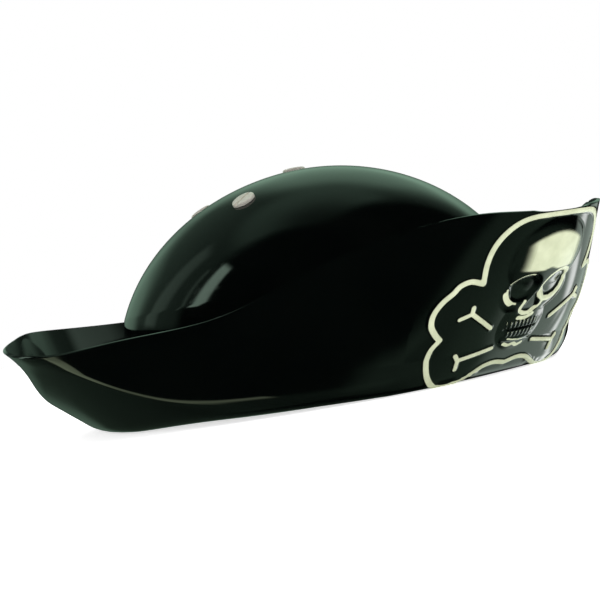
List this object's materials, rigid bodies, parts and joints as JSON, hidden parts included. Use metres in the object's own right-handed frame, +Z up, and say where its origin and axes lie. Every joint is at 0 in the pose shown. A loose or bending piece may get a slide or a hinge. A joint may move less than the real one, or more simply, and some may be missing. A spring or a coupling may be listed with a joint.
{
  "type": "pirate hat",
  "caption": "Moulded gloss plastic pirate hat: low crown screwed to an inner strap cradle, brim turned up into a high front and side tips.",
  "frame": {"origin": "under the middle of the crown, on the plane that the flat floor of the brim rests on", "axes": "+Z up, front of the hat towards -Y, wearer's left towards +X"},
  "size_m": [0.33, 0.3048, 0.1127],
  "materials": {
    "black_plastic": "gloss vacuum-formed sheet",
    "nickel_plate": "nickel plated",
    "zinc_steel": "zinc plated",
    "webbing": "woven nylon webbing",
    "band_vinyl": "grained vinyl",
    "foam_cloth": "foam-backed knit"
  },
  "bodies": {
    "root": {"barrel_nut_back_left": "zinc_steel", "barrel_nut_back_right": "zinc_steel", "barrel_nut_left": "zinc_steel", "barrel_nut_right": "zinc_steel", "barrel_nut_top": "zinc_steel", "brim_shell": "black_plastic", "crown_shell": "black_plastic", "forehead_pad": "foam_cloth", "rivet_back_left": "nickel_plate", "rivet_back_right": "nickel_plate", "rivet_left": "nickel_plate", "rivet_right": "nickel_plate", "rivet_top": "nickel_plate", "screw_back_left": "nickel_plate", "screw_back_right": "nickel_plate", "screw_left": "nickel_plate", "screw_right": "nickel_plate", "screw_top": "nickel_plate", "strap_back_left": "webbing", "strap_back_right": "webbing", "strap_left": "webbing", "strap_right": "webbing", "strap_top": "webbing", "sweatband": "band_vinyl", "washer_back_left": "zinc_steel", "washer_back_right": "zinc_steel", "washer_left": "zinc_steel", "washer_right": "zinc_steel", "washer_top": "zinc_steel"}
  },
  "joints": []
}
